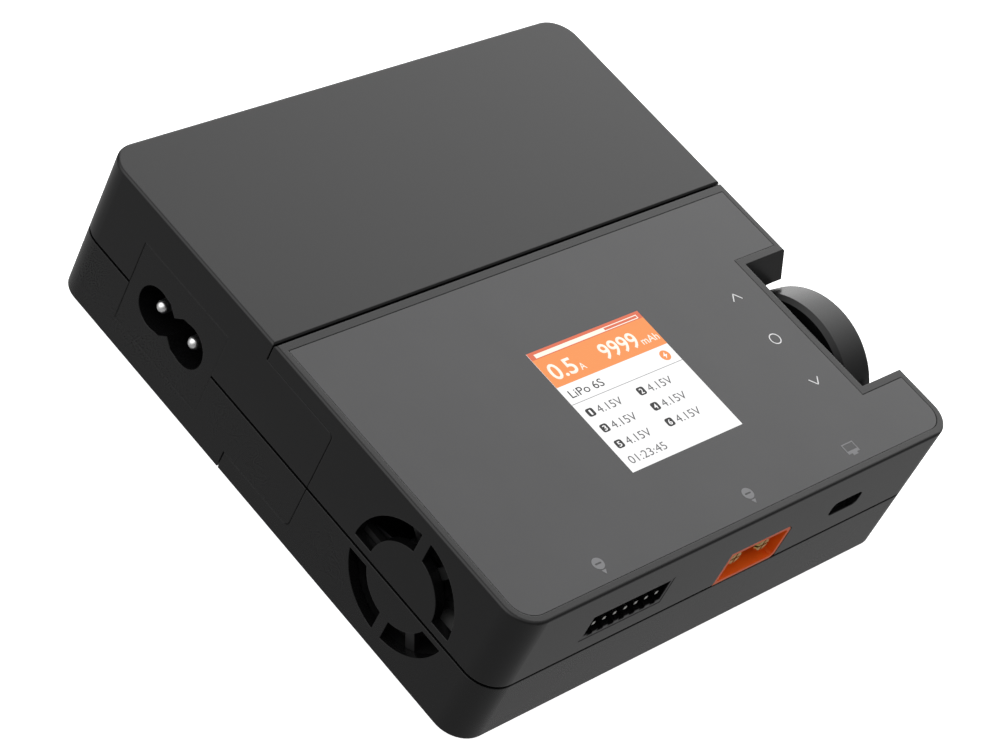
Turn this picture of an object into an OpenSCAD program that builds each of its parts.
// Balance battery charger with a plug-on mains power module, in millimetres.
// Places are measured from the case's front left lower corner: x to the right,
// y to the rear, z up.  The origin lies on the ground, under the middle of the case.

/* [Case] */
// Width of the case, left to right
body_w = 109; // [108:0.5:113]
// Length of the case with the power module pushed home
body_l = 108.7; // [107:0.1:114]
// Height of the case without its feet
body_h = 29.5; // [29.4:0.1:31]
// Radius of the upright corners
corner_r = 5.4; // [4:0.1:6.5]
// Radius of the rounded upper edges
edge_r = 0.5; // [0.4:0.1:1.4]
// Thickness of the side walls
wall = 2; // [1.6:0.1:2.2]
// Thickness of the floor
floor_t = 2.2; // [2:0.1:2.3]
// Height of the seam between lower and upper shells
seam_z = 13.2; // [12.8:0.1:13.8]
// Open width of that seam
seam_gap = 0.6; // [0.2:0.1:0.7]
// Height of the rubber feet below the case
foot_h = 0.8; // [0.5:0.1:2]
// Radius of a rubber foot
foot_r = 4; // [3:0.5:4.5]
// Depth of the pocket that holds a foot
foot_pocket = 0.5; // [0.3:0.1:0.8]

/* [Split between charger and power module] */
// Distance from the front face to the middle of the split
split_y = 62.85; // [62:0.1:64]
// Gap between the two halves when pushed home
split_gap = 0.3; // [0.2:0.1:0.5]
// Chamfer along the upper edges of the split
split_chamfer = 0.3; // [0.2:0.1:0.5]
// How far the side arms reach forward from the split, left arm
arm_reach = 17.1; // [14:0.1:18]
// The same for the right arm, which stops behind the wheel
arm_reach_right = 14.6; // [12:0.1:15]
// Thickness of an arm
arm_t = 3; // [2:0.1:3.2]
// Height of an arm's lower edge
arm_low = 3.7; // [3:0.1:5]
// Height of an arm's upper edge
arm_high = 25.9; // [23:0.1:26]
// Clearance round an arm in its pocket
arm_fit = 0.15; // [0.1:0.05:0.3]

/* [Cover panel and display] */
// Width of the shell's rim round the panel
panel_rim = 1.45; // [1.2:0.05:2]
// Width of the rim behind the panel
panel_rear_rim = 1.8; // [1.4:0.05:2.2]
// Thickness of the cover panel
panel_t = 1; // [0.8:0.1:1]
// Thickness of the deck that the panel lies on
deck_t = 1.1; // [0.9:0.1:1.1]
// Open line round the panel
panel_gap = 0.1; // [0.1:0.02:0.3]
// Width of the display window
screen_w = 27.5; // [24:0.1:29]
// Length of the display window, front to rear
screen_l = 27.4; // [24:0.1:29]
// How far the window's middle lies to the right of the case's middle
screen_shift = 0.3; // [-2:0.1:2]
// Middle of the display window, from the front face
screen_y = 30.8; // [28:0.1:33]
// Thickness of the display module
display_t = 2.2; // [1.6:0.1:3]

/* [Wheel] */
// Middle of the wheel, from the front face
wheel_y = 29.75; // [28:0.25:31]
// Height of the wheel's axis above the middle of the case
wheel_rise = 0.35; // [0:0.05:0.5]
// Radius of the wheel at its outer face
wheel_r = 14.5; // [13.5:0.1:14.8]
// How much larger the wheel is at its inner face
wheel_taper = 0.75; // [0:0.05:1]
// Width of the wheel along its axis
wheel_w = 8.5; // [6:0.1:9]
// Radius of the wheel's shaft
shaft_r = 3; // [2.5:0.1:3.2]
// How far the wheel can be pressed in
press_travel = 0.5; // [0.3:0.05:0.8]
// Depth of the notch from the right face
notch_d = 10.95; // [10:0.05:12]
// Width of the notch at the top of the case
notch_w = 30.9; // [30:0.1:32]
// Clearance between the wheel and the round part of the notch
wheel_fit = 0.55; // [0.4:0.05:0.8]

/* [Fan] */
// Side of the square fan
fan_size = 25; // [24.5:0.1:25]
// Depth of the fan
fan_t = 10; // [7:0.5:10.5]
// Middle of the fan, from the front face
fan_y = 22.3; // [21.5:0.1:24]
// Radius of the round grille
grille_r = 11.75; // [10.5:0.05:12]
// Radius of the closed disc in the middle of the grille
grille_hub_r = 7.65; // [6.5:0.05:8]
// Height of the level spokes
spoke_h = 2.9; // [2:0.1:3.5]
// Width of the upright spokes
spoke_w = 2.1; // [1.6:0.1:3]
// Number of fan blades
fan_blades = 7; // [5:1:9]

/* [Output connector] */
// How far the output connector's middle lies to the right of the case's middle
out_shift = 7.3; // [6:0.1:8]
// Width of the output connector
out_w = 15.7; // [15.5:0.1:16.2]
// Height of the output connector
out_h = 8.2; // [8:0.1:8.4]
// Spacing of its two round contacts
out_pitch = 7.2; // [6.8:0.1:7.4]
// Radius of a round contact
out_pin_r = 1.75; // [1.5:0.05:1.8]
// Thickness of the connector's walls
out_wall = 0.7; // [0.6:0.05:1]
// Depth of the connector housings
out_d = 16; // [14:0.5:16]

/* [Balance socket] */
// Middle of the balance socket, from the left face
bal_x = 28.6; // [28:0.1:32]
// Number of contacts
bal_pins = 7; // [5:1:7]
// Spacing of the contacts
bal_pitch = 2.5; // [2.4:0.1:2.5]
// Height of the open mouth
bal_h = 4.75; // [4.2:0.05:5]

/* [Service socket] */
// Distance from the right face to the middle of the small service socket
usb_side = 24.35; // [22:0.05:26]
// Width of its cut-out in the shell
usb_w = 7.9; // [7.6:0.1:8.4]
// Height of its cut-out
usb_h = 3.4; // [3.2:0.1:3.6]

/* [Mains inlet] */
// How far the inlet's middle lies in front of the module's middle
inlet_shift = 3.25; // [0:0.25:4]
// Width of its face plate
inlet_w = 22.5; // [20:0.1:23]
// Height of its face plate
inlet_h = 17.9; // [14:0.1:18]
// Radius of each round end of the figure-eight recess
lobe_r = 4.1; // [3.9:0.05:4.2]
// Spacing of the two contacts
inlet_pitch = 8.6; // [8.4:0.1:8.8]
// Radius of an inlet contact
inlet_pin_r = 1.18; // [1:0.02:1.25]
// Depth of the recess
inlet_d = 12.5; // [10:0.5:12.5]

/* [Hidden] */
$fn = 64;

// Running, sliding and seating clearances
slip = 0.05;    // radial, between turning or sliding pieces
seat = 0.02;    // round a pin or block held in its housing
rest = 0.1;     // between a piece and the shell beside it
over = 1;       // how far a cut runs past a face

// The case corner in the drawing frame
left = -body_w / 2;
front = -body_l / 2;
base = foot_h;

charger_l = split_y - split_gap / 2;      // rear face of the charger
module_y = split_y + split_gap / 2;       // front face of the power module
ceiling = body_h - panel_t - deck_t;      // underside of the charger's deck
module_ceiling = body_h - wall;
seam_depth = 0.7;                         // how far the open seam runs into the wall
inner_r = corner_r - wall;

// Boards
board_t = 1.6;
board_top = seam_z + 3.8;
board_low = board_top - board_t;
board_x0 = 14;
board_y0 = wall + 0.6;
board_y1 = split_y - 5.25;
supply_low = floor_t + 2;
supply_top = supply_low + board_t;

// Screw bosses
boss_r = 2.6;
boss_meet = 8;                            // where the two shells' bosses meet
screw_r = 1.2;
screw_head_r = 2.3;
screw_head_h = 1.6;
screw_end = 21;
case_bosses = [
    [6.6, 6.2], [body_w - 7, 6.6],
    [9.2, split_y - 7], [body_w - 9, split_y - 7]
];
board_boss_r = 2.8;
board_screw_r = 1;

// Feet
charger_foot_places = [[16, 8], [body_w - 16, 8], [18, split_y - 8], [body_w - 18, split_y - 8]];
module_foot_places = [[17, body_l - 8], [body_w - 17, body_l - 8]];

// Arms and their pockets
pocket_wall = 1.5;
pocket_in = arm_t + arm_fit + pocket_wall;
arm_round = 1;

// Wheel and notch
wheel_z = body_h / 2 + wheel_rise;
wheel_face = body_w - 0.1;
wheel_inner = wheel_face - wheel_w;
wheel_inner_r = wheel_r + wheel_taper;
notch_r = wheel_inner_r + wheel_fit;
notch_x = body_w - notch_d;
tip_angle = 35;                           // where the flare leaves the round part
tip_y = notch_r * cos(tip_angle);
tip_z = notch_r * sin(tip_angle);

// Encoder behind the notch
encoder_side = 12.4;
encoder_t = 6.5;
encoder_x = notch_x - wall - 4.05 - encoder_t;
board_x1 = encoder_x - board_t - rest;    // right edge of the main board
board_bosses = [
    [board_x0 + 3.5, 16], [board_x1 - 4, 16],
    [board_x0 + 3.5, board_y1 - 4], [board_x1 - 4, board_y1 - 4]
];
bushing_r = shaft_r + 0.5;
chamber_depth = 1.1;
plunger_t = 1;
plunger_r = shaft_r + 0.2;
shaft_in = encoder_x + chamber_depth + plunger_t + press_travel + slip;
shaft_out = wheel_inner + 5.6;

// Fan
fan_seat = 0.15;
fan_x = wall + rest;
fan_z = floor_t + fan_seat + fan_size / 2;
fan_bore = fan_size / 2 - 0.55;
rotor_hub_r = 6.2;
blade_tip_r = fan_bore - 0.45;
fan_shaft_r = 1;
strut_t = 1.2;
strut_turn = 31;   // of the first strut, from straight up towards the front

// Grille: level spokes sit on the seam line
spoke_z = seam_z + 0.25;

// Display window, service socket and output connector, which rests on the lower shell's edge
screen_x = body_w / 2 + screen_shift;
usb_x = body_w - usb_side;
out_x = body_w / 2 + out_shift;
out_z = seam_z + out_h / 2;
out_cavity_d = 10;
pin_recess = 0.9;

// The same family of connector joins charger and power module
link_x = body_w / 2;
link_z = body_h / 2;
link_fit = 0.12;

// Coils, heat sink and transistors under the main board
coil_side = 12.5;
coil_h = 8;
coil_x = board_x1 - 13.5 - coil_side;
sink_x0 = board_x0 + 9;
sink_x1 = out_x - out_w / 2 - 2;
sink_y0 = board_y0 + 10.4;
sink_l = 21;
transistor_h = 1.2;
transistor_gap = 1.5;
sink_top = board_low - transistor_h;
fin_t = 1;
fins = 6;

// Round capacitors of both boards
small_capacitor_r = 4;
capacitor_gap = 1.2;
filter_h = 10.5;
filter_x = out_w / 2 + 0.5 + capacitor_gap + small_capacitor_r;

// Balance socket
bal_w = (bal_pins - 1) * bal_pitch + 3.3;
bal_wall = 0.6;
bal_low = board_top;
bal_slot_h = 0.5;
bal_mouth_low = bal_low + bal_wall + bal_slot_h;
bal_d = 9;
bal_z = bal_mouth_low + bal_h / 2 - 0.3;
bal_pin_half = 0.32;

// Service socket
usb_z = board_top + 3;
usb_shell_w = 7.5;
usb_shell_h = 2.7;
usb_shell_t = 0.3;
usb_front = 1.3;
usb_back = 7;

// Mains inlet
inlet_y = (module_y + body_l) / 2 - inlet_shift;
inlet_z = seam_z + 0.3;
inlet_plate_t = 1.8;
inlet_body_w = inlet_w - 3.2;
inlet_body_h = inlet_h - 1.8;
inlet_back = inlet_d + 2.5;
waist_h = 4.4;
shoulder_y = 1.8;                         // where a lobe's flank turns to the waist
shoulder_z = lobe_r - 0.35;
inlet_pin_recess = 0.7;
module_bosses = [
    [inlet_back + boss_r + 0.5, module_y + wall + boss_r], [body_w - 8, module_y + wall + boss_r],
    [8, body_l - 7], [body_w - 8, body_l - 7]
];

// Power module parts
supply_x0 = inlet_back + 0.4;
supply_x1 = body_w - 11.5;
supply_y0 = module_y + wall + 2 * boss_r + 0.6;
supply_y1 = body_l - 3.5;
supply_bosses = [
    [supply_x0 + 4, supply_y0 + 4], [supply_x1 - 4, supply_y0 + 4],
    [supply_x0 + 4, supply_y1 - 4], [supply_x1 - 4, supply_y1 - 4]
];
choke_r = 6.5;
choke_x = supply_x0 + 3;
rear_strip = supply_y1 - 6;               // the fuse and a capacitor lie behind this
link_side = out_w / 2 + capacitor_gap;
capacitor_r = 8.2;
capacitor_x = link_x - link_side - capacitor_r;
choke_w = capacitor_x - capacitor_r - capacitor_gap - choke_x;
core_x0 = link_x + link_side + 0.5;
core_x1 = supply_x1 - 6.5;
core_mid = (core_x0 + core_x1) / 2;
sheet_t = 2;
sheet_y = supply_y1 - sheet_t - 1;
package_t = 3;
winding_out = 4;                          // how far the winding stands out of the core
core_y0 = supply_y0 + 0.5 + winding_out;
core_y1 = sheet_y - package_t - 1 - winding_out;
core_lift = 1;
core_h = 18;
core_leg = 4.5;
centre_leg = 9;

// ---------------------------------------------------------------- helpers

module at(x, y, z) {
    translate([left + x, front + y, base + z]) children();
}

module block(x0, x1, y0, y1, z0, z1) {
    at(x0, y0, z0) cube([x1 - x0, y1 - y0, z1 - z0]);
}

module rod_x(x0, x1, y, z, r) {
    at(x0, y, z) rotate([0, 90, 0]) cylinder(r = r, h = x1 - x0);
}

module rod_y(y0, y1, x, z, r) {
    at(x, y0, z) rotate([-90, 0, 0]) cylinder(r = r, h = y1 - y0);
}

module rod_z(z0, z1, x, y, r) {
    at(x, y, z0) cylinder(r = r, h = z1 - z0);
}

// A flat outline in y and z, drawn out along x
module along_x(x0, x1) {
    at(x0, 0, 0) rotate([90, 0, 90]) linear_extrude(x1 - x0) children();
}

// A flat outline in x and z, drawn out along y
module along_y(y0, y1) {
    at(0, y1, 0) rotate([90, 0, 0]) linear_extrude(y1 - y0) children();
}

// Rectangle with four round corners
module round_rect(w, l, r) {
    translate([r, 0]) square([w - 2 * r, l]);
    translate([0, r]) square([w, l - 2 * r]);
    for (x = [r, w - r], y = [r, l - r]) translate([x, y]) circle(r);
}

// Section of a bar whose upper edges are round
module bar_section(w, h, f) {
    square([w, h - f]);
    translate([f, 0]) square([w - 2 * f, h]);
    for (x = [f, w - f]) translate([x, h - f]) circle(f);
}

// Half of that section, with the round edge on the far side
module edge_section(w, h, f) {
    square([w, h - f]);
    square([w - f, h]);
    translate([w - f, h - f]) circle(f);
}

// Block with round upright corners and round upper edges
module soft_block(w, l, h, r, f) {
    translate([0, l - r, 0]) rotate([90, 0, 0])
        linear_extrude(l - 2 * r) bar_section(w, h, f);
    translate([r, r, 0]) rotate([90, 0, 90]) mirror([1, 0, 0])
        linear_extrude(w - 2 * r) edge_section(r, h, f);
    translate([r, l - r, 0]) rotate([90, 0, 90])
        linear_extrude(w - 2 * r) edge_section(r, h, f);
    for (c = [[w - r, l - r, 0], [r, l - r, 90], [r, r, 180], [w - r, r, 270]])
        translate([c[0], c[1], 0]) rotate([0, 0, c[2]])
            rotate_extrude(angle = 90) edge_section(r, h, f);
}

module case_solid() {
    at(0, 0, 0) soft_block(body_w, body_l, body_h, corner_r, edge_r);
}

// All that lies on one side of the seam: the shells meet behind its open line
module seam_side(z0, z1, meet0, meet1) {
    block(-over, body_w + over, -over, body_l + over, z0, z1);
    at(seam_depth, seam_depth, meet0) linear_extrude(meet1 - meet0)
        round_rect(body_w - 2 * seam_depth, body_l - 2 * seam_depth, corner_r - seam_depth);
}

module below_seam() {
    seam_side(-over, seam_z - seam_gap / 2, 0, seam_z);
}

module above_seam() {
    seam_side(seam_z + seam_gap / 2, body_h + over, seam_z, body_h);
}

// Plan of the inside, between two distances from the front face
module inner_plan(y0, y1) {
    intersection() {
        translate([wall, wall]) round_rect(body_w - 2 * wall, body_l - 2 * wall, inner_r);
        translate([0, y0]) square([body_w, y1 - y0]);
    }
}

// Outline of the wheel's notch in y and z, grown by g
module notch_outline(g) {
    spread = (notch_w / 2 - tip_y) / (body_h - wheel_z - tip_z);
    up = body_h - wheel_z + over;
    down = wheel_z + over;
    translate([wheel_y, wheel_z]) {
        circle(notch_r + g);
        for (s = [[1, up], [-1, down]]) polygon([
            [-tip_y - g, s[0] * tip_z],
            [tip_y + g, s[0] * tip_z],
            [tip_y + g + spread * (s[1] - tip_z), s[0] * s[1]],
            [-tip_y - g - spread * (s[1] - tip_z), s[0] * s[1]]
        ]);
    }
}

module notch_cut() {
    along_x(notch_x, body_w + over) notch_outline(0);
}

// Space inside the charger, clear of the notch's and the arms' walls
module charger_cavity(z0, z1) {
    difference() {
        at(0, 0, z0) linear_extrude(z1 - z0) inner_plan(0, charger_l - wall);
        along_x(notch_x - wall, body_w + over) notch_outline(wall);
        block(-over, pocket_in, split_y - arm_reach - arm_fit - pocket_wall, body_l, -over, body_h);
        block(body_w - pocket_in, body_w + over,
            split_y - arm_reach_right - arm_fit - pocket_wall, body_l, -over, body_h);
    }
}

// One arm, or with g its pocket, on the left; reach sets its front end
module arm_left(reach, g, y1) {
    r = arm_round + g;
    y0 = split_y - reach - g;
    z0 = arm_low - g;
    z1 = arm_high + g;
    along_x(g > 0 ? -over : 0, arm_t + g) {
        translate([y0 + r, z0]) square([y1 - y0 - r, z1 - z0]);
        translate([y0, z0 + r]) square([y1 - y0, z1 - z0 - 2 * r]);
        for (z = [z0 + r, z1 - r]) translate([y0 + r, z]) circle(r);
    }
}

module arms(g, y1) {
    arm_left(arm_reach, g, y1);
    mirror([1, 0, 0]) arm_left(arm_reach_right, g, y1);
}

// Outline of the orange connector, one short side with cut corners
module plug_outline(w, h, cut) {
    polygon([
        [-w / 2, -h / 2], [w / 2 - cut, -h / 2], [w / 2, -h / 2 + cut],
        [w / 2, h / 2 - cut], [w / 2 - cut, h / 2], [-w / 2, h / 2]
    ]);
}

// Holes of the fan grille in y and z
module grille_outline() {
    difference() {
        translate([fan_y, fan_z]) circle(grille_r);
        translate([fan_y, fan_z]) circle(grille_hub_r);
        translate([fan_y - 2 * grille_r, spoke_z - spoke_h / 2]) square([4 * grille_r, spoke_h]);
        translate([fan_y - spoke_w / 2, fan_z - 2 * grille_r]) square([spoke_w, 4 * grille_r]);
    }
}

// Bosses that stand up from a lower shell
module lower_bosses(places) {
    for (p = places) rod_z(floor_t / 2, boss_meet, p[0], p[1], boss_r);
}

module upper_bosses(places, roof) {
    for (p = places) rod_z(boss_meet, roof + deck_t / 2, p[0], p[1], boss_r);
}

module lower_screw_holes(places) {
    for (p = places) {
        rod_z(-over, boss_meet + over, p[0], p[1], screw_r + slip);
        rod_z(-over, screw_head_h + rest, p[0], p[1], screw_head_r + rest);
    }
}

module upper_screw_holes(places) {
    for (p = places) rod_z(boss_meet - over, screw_end + 1, p[0], p[1], screw_r + slip);
}

module screws(places) {
    arm = 0.35;                           // half the width of the crossed recess
    for (p = places) difference() {
        union() {
            rod_z(rest, screw_head_h, p[0], p[1], screw_head_r);
            rod_z(screw_head_h / 2, screw_end, p[0], p[1], screw_r);
        }
        block(p[0] - arm, p[0] + arm, p[1] - screw_r, p[1] + screw_r, -over, screw_head_h / 2);
        block(p[0] - screw_r, p[0] + screw_r, p[1] - arm, p[1] + arm, -over, screw_head_h / 2);
    }
}

module foot_pockets(places) {
    for (p = places) rod_z(-over, foot_pocket, p[0], p[1], foot_r + rest);
}

module feet(places) {
    for (p = places) rod_z(-foot_h, foot_pocket, p[0], p[1], foot_r);
}

// ---------------------------------------------------------------- charger case

module bottom_shell() {
    color([0.16, 0.16, 0.165]) difference() {
        union() {
            difference() {
                intersection() {
                    case_solid();
                    below_seam();
                    block(-over, body_w + over, -over, charger_l, -over, body_h);
                }
                charger_cavity(floor_t, body_h);
            }
            lower_bosses(case_bosses);
            for (p = board_bosses) rod_z(floor_t / 2, board_low, p[0], p[1], board_boss_r);
            for (s = [-1, 1]) block(fan_x + fan_t + rest, fan_x + fan_t + rest + 1.2,
                fan_y + s * (fan_size / 2 - 1.5) - 1, fan_y + s * (fan_size / 2 - 1.5) + 1,
                floor_t / 2, seam_z - 3);
        }
        notch_cut();
        arms(arm_fit, charger_l + over);
        along_x(-over, wall + over) grille_outline();
        rod_x(notch_x - wall - over, notch_x + over, wheel_y, wheel_z, bushing_r + rest);
        input_opening();
        foot_pockets(charger_foot_places);
        lower_screw_holes(case_bosses);
        for (p = board_bosses) rod_z(floor_t + 1, board_low + over, p[0], p[1], board_screw_r + slip);
    }
}

module top_shell() {
    color([0.17, 0.17, 0.175]) difference() {
        union() {
            difference() {
                intersection() {
                    case_solid();
                    above_seam();
                    block(-over, body_w + over, -over, charger_l, 0, body_h + over);
                }
                charger_cavity(0, ceiling);
            }
            upper_bosses(case_bosses, ceiling);
            for (s = [-1, 1]) block(fan_x + fan_t + rest, fan_x + fan_t + rest + 1.2,
                fan_y + s * (fan_size / 2 - 1.5) - 1, fan_y + s * (fan_size / 2 - 1.5) + 1,
                seam_z + 5, ceiling + deck_t / 2);
        }
        notch_cut();
        arms(arm_fit, charger_l + over);
        at(0, 0, body_h - panel_t) linear_extrude(panel_t + over) panel_outline(0);
        screen_opening(-0.4, ceiling - over);
        split_bevel(charger_l, 1);
        along_x(-over, wall + over) grille_outline();
        rod_x(notch_x - wall - over, notch_x + over, wheel_y, wheel_z, bushing_r + rest);
        output_opening();
        balance_opening();
        usb_opening();
        input_opening();
        upper_screw_holes(case_bosses);
    }
}

// Bevel along the upper edge of the split: side 1 is the charger, -1 the module
module split_bevel(y, side) {
    along_x(-over, body_w + over) polygon([
        [y - side * split_chamfer, body_h], [y - side * (split_chamfer + over), body_h + over],
        [y + side * over, body_h + over], [y + side * over, body_h - split_chamfer - over],
        [y, body_h - split_chamfer]
    ]);
}

// Plan of the cover panel, or of its seat when g is 0
module panel_outline(g) {
    m = panel_rim + g;
    difference() {
        intersection() {
            translate([m, m]) round_rect(body_w - 2 * m, body_l, corner_r - panel_rim);
            square([body_w, charger_l - panel_rear_rim - g]);
        }
        translate([notch_x - m, wheel_y - notch_w / 2 - m])
            square([body_w, notch_w + 2 * m]);
    }
}

module screen_opening(g, z0) {
    block(screen_x - screen_w / 2 - g, screen_x + screen_w / 2 + g,
        screen_y - screen_l / 2 - g, screen_y + screen_l / 2 + g, z0, body_h + over);
}

module output_opening() {
    at(out_x, 0, out_z) rotate([90, 0, 0]) translate([0, 0, -wall - over])
        linear_extrude(wall + 2 * over) {
            plug_outline(out_w + 2 * rest, out_h + 2 * rest, 0.8);
            translate([-out_w / 2 - rest, -out_h / 2 - over]) square([out_w + 2 * rest, out_h / 2]);
        }
}

module balance_opening() {
    block(bal_x - bal_w / 2 - bal_wall - slip, bal_x + bal_w / 2 + bal_wall + slip, -over, wall + over,
        bal_low - slip, bal_mouth_low + bal_h + bal_wall + slip);
}

module usb_opening() {
    at(usb_x, 0, usb_z) rotate([90, 0, 0]) translate([0, 0, -wall - over])
        linear_extrude(wall + 2 * over) translate([-usb_w / 2, -usb_h / 2])
            round_rect(usb_w, usb_h, 1.1);
}

// Mouth of the power input in the rear wall, shared by both shells
module input_opening() {
    at(link_x, charger_l, link_z) rotate([90, 0, 0]) translate([0, 0, -over])
        linear_extrude(wall + 2 * over) link_outline(-rest, 0.8);
}

// The plug outline at the split, smaller by g all round
module link_outline(g, cut) {
    mirror([1, 0]) plug_outline(out_w - 2 * g, out_h - 2 * g, cut);
}

module cover_panel() {
    color([0.36, 0.36, 0.365]) difference() {
        at(0, 0, body_h - panel_t) linear_extrude(panel_t) panel_outline(panel_gap);
        screen_opening(slip, body_h - panel_t - over);
    }
}

module screen_lens() {
    color([0.9, 0.9, 0.92]) block(screen_x - screen_w / 2, screen_x + screen_w / 2,
        screen_y - screen_l / 2, screen_y + screen_l / 2, body_h - panel_t, body_h);
}

module display_module() {
    color([0.12, 0.12, 0.13]) block(screen_x - screen_w / 2 - 1.6, screen_x + screen_w / 2 + 1.6,
        screen_y - screen_l / 2 - 4, screen_y + screen_l / 2 + 1.6, ceiling - display_t, ceiling);
}

module charger_feet() {
    color([0.08, 0.08, 0.08]) feet(charger_foot_places);
}

module case_screws() {
    color([0.55, 0.55, 0.58]) screws(case_bosses);
}

// ---------------------------------------------------------------- charger electronics

module main_board() {
    color([0.05, 0.3, 0.16]) difference() {
        union() {
            block(board_x0, board_x1, board_y0, board_y1, board_low, board_top);
            block(board_x1 - over, body_w - 11, board_y0, board_y0 + 8, board_low, board_top);
        }
        block(out_x - out_w / 2 - 0.5, out_x + out_w / 2 + 0.5, 0, out_d + 1.7,
            board_low - over, board_top + over);
        block(link_x - out_w / 2 - 0.5, link_x + out_w / 2 + 0.5,
            charger_l - out_d - 1.7, charger_l, board_low - over, board_top + over);
        for (p = board_bosses) rod_z(board_low - over, board_top + over, p[0], p[1], board_screw_r + rest);
    }
}

module board_screws() {
    color([0.7, 0.7, 0.72]) for (p = board_bosses) {
        rod_z(board_top, board_top + 1.3, p[0], p[1], 2);
        rod_z(floor_t + 3, board_top + 0.5, p[0], p[1], board_screw_r);
    }
}

module chip(x, y, w, l) {
    block(x, x + w, y, y + l, board_top, board_top + 1.2);
}

module control_chips() {
    color([0.07, 0.07, 0.07]) {
        chip(link_x - 9.5, out_d + 5, 10, 10);
        chip(board_x1 - 18, board_y1 - 20, 7, 7);
        chip(board_x0 + 20, board_y1 - 20, 6, 5);
    }
}

module power_transistors() {
    pitch = (sink_x1 - sink_x0 - transistor_gap) / 4;
    color([0.09, 0.09, 0.09]) for (i = [0:3]) {
        x = sink_x0 + transistor_gap + i * pitch;
        block(x, x + pitch - transistor_gap, sink_y0 + 6, sink_y0 + 12, sink_top, board_low);
    }
}

module heatsink() {
    pitch = (sink_l - fin_t) / (fins - 1);
    color([0.72, 0.73, 0.75]) union() {
        block(sink_x0, sink_x1, sink_y0, sink_y0 + sink_l, sink_top - 2, sink_top);
        for (i = [0:fins - 1]) block(sink_x0, sink_x1,
            sink_y0 + i * pitch, sink_y0 + i * pitch + fin_t, floor_t + rest, sink_top - 1);
    }
}

module power_inductors() {
    y = board_y1 - 40;
    color([0.25, 0.25, 0.27]) for (i = [0, 1])
        block(coil_x, coil_x + coil_side, y + i * (coil_side + 2), y + i * (coil_side + 2) + coil_side,
            board_low - coil_h, board_low);
}

module filter_capacitors() {
    y = board_y1 - 7;
    color([0.2, 0.22, 0.3]) for (x = [-filter_x - 2 * small_capacitor_r - capacitor_gap, -filter_x, filter_x])
        rod_z(board_low - filter_h, board_low, link_x + x, y, small_capacitor_r);
}

module buzzer() {
    buzzer_r = 4.6;
    buzzer_h = 5.5;
    x = board_x0 + 16;
    y = board_y1 - 29.6;
    color([0.06, 0.06, 0.06]) difference() {
        rod_z(board_top, board_top + buzzer_h, x, y, buzzer_r);
        rod_z(board_top + buzzer_h - 1, board_top + buzzer_h + over, x, y, 1);
    }
}

// ---------------------------------------------------------------- connectors

// Orange housing open to -y, its mouth in the plane y = 0 of its own frame
module plug_housing() {
    difference() {
        rotate([-90, 0, 0]) mirror([0, 1, 0]) linear_extrude(out_d) plug_outline(out_w, out_h, 0.8);
        translate([0, -over, 0]) rotate([-90, 0, 0]) mirror([0, 1, 0])
            linear_extrude(out_cavity_d + over)
                plug_outline(out_w - 2 * out_wall, out_h - 2 * out_wall, 0.5);
        for (s = [-1, 1]) translate([s * out_pitch / 2, 0, 0]) rotate([-90, 0, 0])
            cylinder(r = out_pin_r + seat, h = out_d + over);
    }
}

// Two split contacts for that housing
module plug_contacts() {
    for (s = [-1, 1]) translate([s * out_pitch / 2, 0, 0]) difference() {
        union() {
            translate([0, pin_recess + 0.5, 0]) rotate([-90, 0, 0])
                cylinder(r = out_pin_r, h = out_d + 1.5 - pin_recess - 0.5);
            translate([0, pin_recess, 0]) rotate([-90, 0, 0])
                cylinder(r1 = out_pin_r - 0.4, r2 = out_pin_r, h = 0.5);
        }
        translate([-0.2, 0, -out_pin_r - over]) cube([0.4, out_cavity_d - 2, 2 * (out_pin_r + over)]);
        translate([-out_pin_r - over, 0, -0.2]) cube([2 * (out_pin_r + over), out_cavity_d - 2, 0.4]);
    }
}

module output_housing() {
    color([0.95, 0.42, 0.1]) at(out_x, slip, out_z) plug_housing();
}

module output_pins() {
    color([0.85, 0.68, 0.3]) at(out_x, slip, out_z) plug_contacts();
}

module input_housing() {
    color([0.95, 0.42, 0.1]) at(link_x, charger_l - slip, link_z) rotate([0, 0, 180]) plug_housing();
}

module input_pins() {
    color([0.85, 0.68, 0.3]) at(link_x, charger_l - slip, link_z) rotate([0, 0, 180]) plug_contacts();
}

module balance_housing() {
    y0 = slip;
    color([0.1, 0.1, 0.1]) difference() {
        block(bal_x - bal_w / 2 - bal_wall, bal_x + bal_w / 2 + bal_wall, y0, y0 + bal_d,
            bal_low, bal_mouth_low + bal_h + bal_wall);
        block(bal_x - bal_w / 2, bal_x + bal_w / 2, -over, y0 + bal_d - 1.5,
            bal_mouth_low, bal_mouth_low + bal_h);
        for (i = [0:bal_pins - 1]) {
            x = bal_x + (i - (bal_pins - 1) / 2) * bal_pitch;
            block(x - 0.65, x + 0.65, -over, y0 + bal_d - 1.5,
                bal_mouth_low - bal_slot_h, bal_mouth_low + over);
            block(x - bal_pin_half - seat, x + bal_pin_half + seat, 0, bal_d + over,
                bal_z - bal_pin_half - seat, bal_z + bal_pin_half + seat);
        }
    }
}

module balance_pins() {
    color([0.8, 0.8, 0.78]) for (i = [0:bal_pins - 1]) {
        x = bal_x + (i - (bal_pins - 1) / 2) * bal_pitch;
        union() {
            block(x - bal_pin_half, x + bal_pin_half, 0.4, bal_d + 1.5,
                bal_z - bal_pin_half, bal_z + bal_pin_half);
            block(x - bal_pin_half, x + bal_pin_half, bal_d + 1.5 - 2 * bal_pin_half, bal_d + 1.5,
                board_top, bal_z);
        }
    }
}

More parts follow.
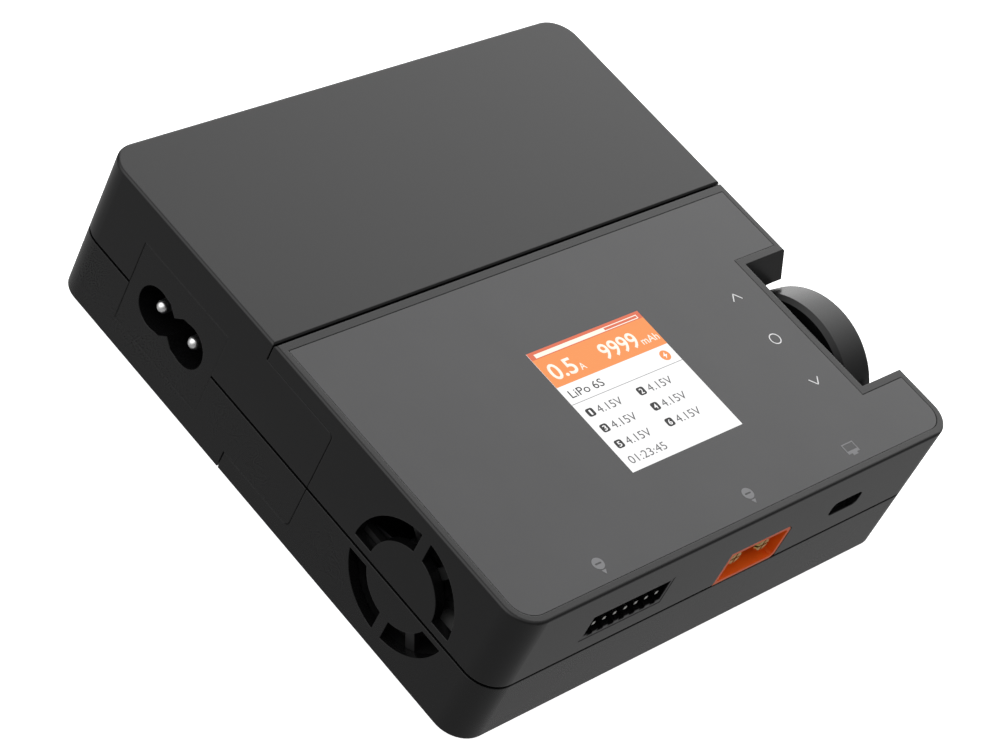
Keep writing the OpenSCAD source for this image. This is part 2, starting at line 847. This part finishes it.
module usb_shell() {
    color([0.7, 0.7, 0.72]) difference() {
        at(usb_x, usb_back, usb_z) rotate([90, 0, 0]) linear_extrude(usb_back - usb_front)
            translate([-usb_shell_w / 2, -usb_shell_h / 2]) round_rect(usb_shell_w, usb_shell_h, 0.7);
        at(usb_x, usb_back - usb_shell_t, usb_z) rotate([90, 0, 0]) linear_extrude(usb_back)
            translate([-usb_shell_w / 2 + usb_shell_t, -usb_shell_h / 2 + usb_shell_t])
                round_rect(usb_shell_w - 2 * usb_shell_t, usb_shell_h - 2 * usb_shell_t, 0.4);
    }
}

module usb_tongue() {
    color([0.05, 0.05, 0.05]) {
        block(usb_x - 2.1, usb_x + 2.1, usb_front + 0.5, usb_back - usb_shell_t - seat,
            usb_z - 0.1, usb_z + 0.5);
        block(usb_x - usb_shell_w / 2, usb_x + usb_shell_w / 2, usb_front + 1, usb_back,
            board_top, usb_z - usb_shell_h / 2);
        block(usb_x - 1.5, usb_x + 1.5, usb_back - 2, usb_back - usb_shell_t - seat,
            usb_z - usb_shell_h / 2 + usb_shell_t + seat, usb_z);
    }
}

// ---------------------------------------------------------------- wheel and encoder

module encoder_housing() {
    half = encoder_side / 2;
    color([0.6, 0.6, 0.62]) difference() {
        union() {
            block(encoder_x, encoder_x + encoder_t, wheel_y - half, wheel_y + half,
                wheel_z - half, wheel_z + half);
            rod_x(encoder_x + encoder_t - over, notch_x - rest, wheel_y, wheel_z, bushing_r);
        }
        rod_x(encoder_x + 0.6, notch_x + over, wheel_y, wheel_z, shaft_r + slip);
        rod_x(encoder_x + 0.6, shaft_in + 0.2, wheel_y, wheel_z, plunger_r + slip);
    }
}

module encoder_board() {
    color([0.05, 0.3, 0.16]) block(encoder_x - board_t, encoder_x, wheel_y - 8, wheel_y + 8,
        wheel_z - 8, wheel_z + 8);
}

module switch_plunger() {
    color([0.85, 0.82, 0.72])
        rod_x(shaft_in - slip - plunger_t, shaft_in - slip, wheel_y, wheel_z, plunger_r);
}

module wheel_shaft() {
    color([0.66, 0.67, 0.7]) rod_x(shaft_in, shaft_out, wheel_y, wheel_z, shaft_r);
}

// Half section of the wheel: radius across, distance from the inner face up
module wheel_section() {
    soft = 0.8;
    dish = 0.5;
    difference() {
        union() {
            polygon([
                [0, 0], [wheel_inner_r - soft, 0], [wheel_inner_r, soft],
                [wheel_r, wheel_w - soft], [wheel_r - soft, wheel_w], [0, wheel_w]
            ]);
            translate([wheel_r - soft, wheel_w - soft]) circle(soft);
        }
        translate([5.2, -over]) square([wheel_inner_r - 3 - 5.2, 5.5 + over]);
        translate([-over, wheel_w - dish]) square([over + wheel_r - 3.4, dish + over]);
        translate([-over, -over]) square([over + shaft_r + seat, shaft_out - wheel_inner + seat + over]);
    }
}

module scroll_wheel() {
    color([0.13, 0.13, 0.135]) at(wheel_inner, wheel_y, wheel_z) rotate([0, 90, 0])
        rotate_extrude() wheel_section();
}

// ---------------------------------------------------------------- fan

module fan_frame() {
    half = fan_size / 2;
    back = fan_x + fan_t;
    color([0.11, 0.11, 0.11]) difference() {
        union() {
            difference() {
                along_x(fan_x, back) translate([fan_y - half, fan_z - half])
                    round_rect(fan_size, fan_size, 1.5);
                rod_x(fan_x - over, back + over, fan_y, fan_z, fan_bore);
            }
            rod_x(fan_x, fan_x + strut_t, fan_y, fan_z, rotor_hub_r);
            rod_x(fan_x, fan_x + 5, fan_y, fan_z, 2);
            for (i = [0:2]) at(fan_x + strut_t / 2, fan_y, fan_z) rotate([strut_turn + i * 120, 0, 0])
                translate([0, 0, (rotor_hub_r + fan_bore) / 2])
                    cube([strut_t, 2, fan_bore - rotor_hub_r + 1], center = true);
        }
        rod_x(fan_x + 0.4, fan_x + 5 + over, fan_y, fan_z, fan_shaft_r + slip);
        for (y = [-1, 1], z = [-1, 1])
            rod_x(fan_x - over, back + over, fan_y + y * (half - 2.5), fan_z + z * (half - 2.5), 1.4);
    }
}

module fan_rotor() {
    hub_x = fan_x + strut_t + 0.5;
    end_x = fan_x + fan_t - 0.6;
    mid = (hub_x + end_x) / 2;
    color([0.13, 0.13, 0.13]) union() {
        difference() {
            rod_x(hub_x, end_x, fan_y, fan_z, rotor_hub_r);
            rod_x(hub_x - over, end_x - 1, fan_y, fan_z, rotor_hub_r - 0.8);
        }
        rod_x(fan_x + 0.6, end_x - 0.5, fan_y, fan_z, fan_shaft_r);
        intersection() {
            difference() {
                rod_x(hub_x, end_x - 0.4, fan_y, fan_z, blade_tip_r);
                rod_x(hub_x - over, end_x + over, fan_y, fan_z, rotor_hub_r - 0.4);
            }
            union() {
                for (i = [0:fan_blades - 1]) at(mid, fan_y, fan_z) rotate([i * 360 / fan_blades, 0, 0])
                    translate([0, 0, (rotor_hub_r + blade_tip_r) / 2]) rotate([0, 0, 38])
                        cube([12, 0.9, blade_tip_r - rotor_hub_r + 2], center = true);
            }
        }
    }
}

// ---------------------------------------------------------------- power module case

module module_cavity(z0, z1) {
    at(0, 0, z0) linear_extrude(z1 - z0) inner_plan(module_y + wall, body_l);
}

module inlet_opening() {
    block(-over, wall + over, inlet_y - inlet_w / 2 - slip, inlet_y + inlet_w / 2 + slip,
        inlet_z - inlet_h / 2 - slip, inlet_z + inlet_h / 2 + slip);
}

module link_opening() {
    at(link_x, module_y + wall, link_z) rotate([90, 0, 0]) translate([0, 0, -over])
        linear_extrude(wall + 2 * over) link_outline(out_wall, 0.5);
}

module module_bottom_shell() {
    color([0.16, 0.16, 0.165]) difference() {
        union() {
            difference() {
                intersection() {
                    case_solid();
                    below_seam();
                    block(-over, body_w + over, module_y, body_l + over, -over, body_h);
                }
                module_cavity(floor_t, body_h);
            }
            intersection() {
                arms(0, module_y + wall);
                below_seam();
            }
            lower_bosses(module_bosses);
            for (p = supply_bosses) rod_z(floor_t / 2, supply_low, p[0], p[1], board_boss_r);
        }
        inlet_opening();
        link_opening();
        foot_pockets(module_foot_places);
        lower_screw_holes(module_bosses);
        for (p = supply_bosses)
            rod_z(floor_t / 2 + 0.4, supply_low + over, p[0], p[1], board_screw_r + slip);
    }
}

module module_top_shell() {
    color([0.3, 0.3, 0.305]) difference() {
        union() {
            difference() {
                intersection() {
                    case_solid();
                    above_seam();
                    block(-over, body_w + over, module_y, body_l + over, 0, body_h + over);
                }
                module_cavity(0, module_ceiling);
            }
            intersection() {
                arms(0, module_y + wall);
                above_seam();
            }
            upper_bosses(module_bosses, module_ceiling);
        }
        inlet_opening();
        link_opening();
        split_bevel(module_y, -1);
        upper_screw_holes(module_bosses);
    }
}

module module_feet() {
    color([0.08, 0.08, 0.08]) feet(module_foot_places);
}

module module_screws() {
    color([0.55, 0.55, 0.58]) screws(module_bosses);
}

// ---------------------------------------------------------------- mains inlet

// Figure-eight outline in y and z
module eight(r, waist) {
    for (s = [-1, 1]) translate([inlet_y + s * inlet_pitch / 2, inlet_z]) circle(r);
    translate([inlet_y, inlet_z]) polygon([
        [0, waist / 2], [shoulder_y, shoulder_z], [inlet_pitch / 2, r],
        [inlet_pitch / 2, -r], [shoulder_y, -shoulder_z], [0, -waist / 2],
        [-shoulder_y, -shoulder_z], [-inlet_pitch / 2, -r],
        [-inlet_pitch / 2, r], [-shoulder_y, shoulder_z]
    ]);
}

module mains_inlet() {
    color([0.1, 0.1, 0.105]) difference() {
        union() {
            block(slip, inlet_plate_t, inlet_y - inlet_w / 2, inlet_y + inlet_w / 2,
                inlet_z - inlet_h / 2, inlet_z + inlet_h / 2);
            block(inlet_plate_t - slip, inlet_back, inlet_y - inlet_body_w / 2,
                inlet_y + inlet_body_w / 2, inlet_z - inlet_body_h / 2, inlet_z + inlet_body_h / 2);
        }
        along_x(-over, inlet_d) eight(lobe_r, waist_h);
        for (s = [-1, 1])
            rod_x(0, inlet_back + over, inlet_y + s * inlet_pitch / 2, inlet_z, inlet_pin_r + seat);
    }
}

// A pin along x with a domed tip at x0
module round_pin(x0, x1, y, z, r) {
    at(x0, y, z) rotate([0, 90, 0]) rotate_extrude() intersection() {
        union() {
            translate([0, r]) circle(r);
            translate([-r, r]) square([2 * r, x1 - x0 - r]);
        }
        square([r, x1 - x0]);
    }
}

module inlet_pins() {
    color([0.8, 0.8, 0.8]) for (s = [-1, 1]) {
        y = inlet_y + s * inlet_pitch / 2;
        union() {
            round_pin(inlet_pin_recess, inlet_back + 1.4, y, inlet_z, inlet_pin_r);
            block(inlet_back + 0.6, inlet_back + 1.4, y - 0.6, y + 0.6, supply_top, inlet_z);
        }
    }
}

// ---------------------------------------------------------------- power module electronics

module supply_board() {
    color([0.35, 0.25, 0.1]) difference() {
        block(supply_x0, supply_x1, supply_y0, supply_y1, supply_low, supply_top);
        for (p = supply_bosses) rod_z(supply_low - over, supply_top + over, p[0], p[1], board_screw_r + rest);
    }
}

module supply_screws() {
    color([0.7, 0.7, 0.72]) for (p = supply_bosses) {
        rod_z(supply_top, supply_top + 1.3, p[0], p[1], 2);
        rod_z(floor_t / 2 + 0.8, supply_top + 0.5, p[0], p[1], board_screw_r);
    }
}

module transformer_core() {
    z0 = supply_top + core_lift;
    window = (core_x1 - core_x0 - centre_leg) / 2 - core_leg;
    color([0.2, 0.2, 0.2]) difference() {
        block(core_x0, core_x1, core_y0, core_y1, z0, z0 + core_h);
        for (x = [core_x0 + core_leg, core_mid + centre_leg / 2])
            block(x, x + window, core_y0 - over, core_y1 + over, z0 + core_leg, z0 + core_h - core_leg);
    }
}

module transformer_bobbin() {
    z0 = supply_top + core_lift;
    half = (core_x1 - core_x0) / 2 - core_leg - rest;
    foot = 2;
    color([0.85, 0.7, 0.2]) difference() {
        union() {
            block(core_mid - half, core_mid + half, core_y0 - winding_out, core_y1 + winding_out,
                z0 + core_leg + rest, z0 + core_h - core_leg - rest);
            for (y = [core_y0 - winding_out, core_y1 + winding_out - foot])
                block(core_mid - half, core_mid + half, y, y + foot, supply_top, z0 + core_leg + over);
        }
        block(core_mid - centre_leg / 2 - rest, core_mid + centre_leg / 2 + rest,
            core_y0 - rest, core_y1 + rest, supply_top - over, z0 + core_h);
    }
}

module bulk_capacitor() {
    color([0.12, 0.16, 0.3]) rod_y(supply_y0 + 1, rear_strip - 0.5, capacitor_x,
        supply_top + capacitor_r, capacitor_r);
}

module suppression_capacitor() {
    x = supply_x0 + 6.5;
    color([0.9, 0.75, 0.15])
        block(x, x + 13, rear_strip + 0.3, rear_strip + 5.3, supply_top, supply_top + 11);
}

module line_choke() {
    y = rear_strip - choke_r - 0.3;
    z = supply_top + choke_r;
    color([0.5, 0.25, 0.1]) difference() {
        rod_x(choke_x, choke_x + choke_w, y, z, choke_r);
        rod_x(choke_x - over, choke_x + choke_w + over, y, z, 2.4);
    }
}

module primary_heatsink() {
    color([0.72, 0.73, 0.75]) block(core_x0 - 1, core_x1 - 3, sheet_y, sheet_y + sheet_t,
        supply_top, supply_top + core_h);
}

module switching_transistors() {
    w = (core_x1 - core_x0 - 8) / 2;
    color([0.09, 0.09, 0.09]) for (x = [core_x0 + 1, core_x0 + 3 + w])
        block(x, x + w, sheet_y - package_t, sheet_y, supply_top, supply_top + 13);
}

module supply_capacitors() {
    color([0.15, 0.3, 0.2]) for (s = [-1, 1])
        rod_z(supply_top, supply_top + 16, link_x + s * (small_capacitor_r + 0.4),
            module_y + 19, small_capacitor_r);
}

module fuse() {
    fuse_r = 2.5;
    color([0.85, 0.85, 0.8]) rod_x(supply_x0 + 21, supply_x0 + 37, rear_strip + 0.4 + fuse_r,
        supply_top + fuse_r, fuse_r);
}

module link_plug() {
    back = module_y + wall + 10;
    tip = charger_l - slip - out_cavity_d + 0.3;
    color([0.95, 0.42, 0.1]) difference() {
        union() {
            along_y(tip, back) translate([link_x, link_z]) link_outline(out_wall + link_fit, 0.5);
            along_y(module_y + wall, back) translate([link_x, link_z]) link_outline(0, 0.8);
            along_y(supply_y0 + 0.2, back) translate([link_x - 5, supply_top])
                square([10, link_z - supply_top]);
        }
        for (s = [-1, 1]) {
            rod_y(tip - over, back + over, link_x + s * out_pitch / 2, link_z, out_pin_r + slip);
        }
    }
}

// Sleeves behind the plug's bores, with tails down to the board
module link_contacts() {
    back = module_y + wall + 10;
    color([0.85, 0.68, 0.3]) for (s = [-1, 1]) {
        x = link_x + s * out_pitch / 2;
        union() {
            rod_y(charger_l + 2, back + 1, x, link_z, out_pin_r);
            block(x - 0.8, x + 0.8, back + 0.2, back + 1, supply_top, link_z);
        }
    }
}

bottom_shell();
top_shell();
cover_panel();
screen_lens();
display_module();
main_board();
control_chips();
power_transistors();
heatsink();
power_inductors();
filter_capacitors();
buzzer();
output_housing();
output_pins();
balance_housing();
balance_pins();
usb_shell();
usb_tongue();
input_housing();
input_pins();
encoder_housing();
encoder_board();
switch_plunger();
wheel_shaft();
scroll_wheel();
fan_frame();
fan_rotor();
board_screws();
case_screws();
charger_feet();
module_bottom_shell();
module_top_shell();
mains_inlet();
inlet_pins();
supply_board();
transformer_core();
transformer_bobbin();
bulk_capacitor();
suppression_capacitor();
line_choke();
primary_heatsink();
switching_transistors();
supply_capacitors();
fuse();
link_plug();
link_contacts();
supply_screws();
module_screws();
module_feet();
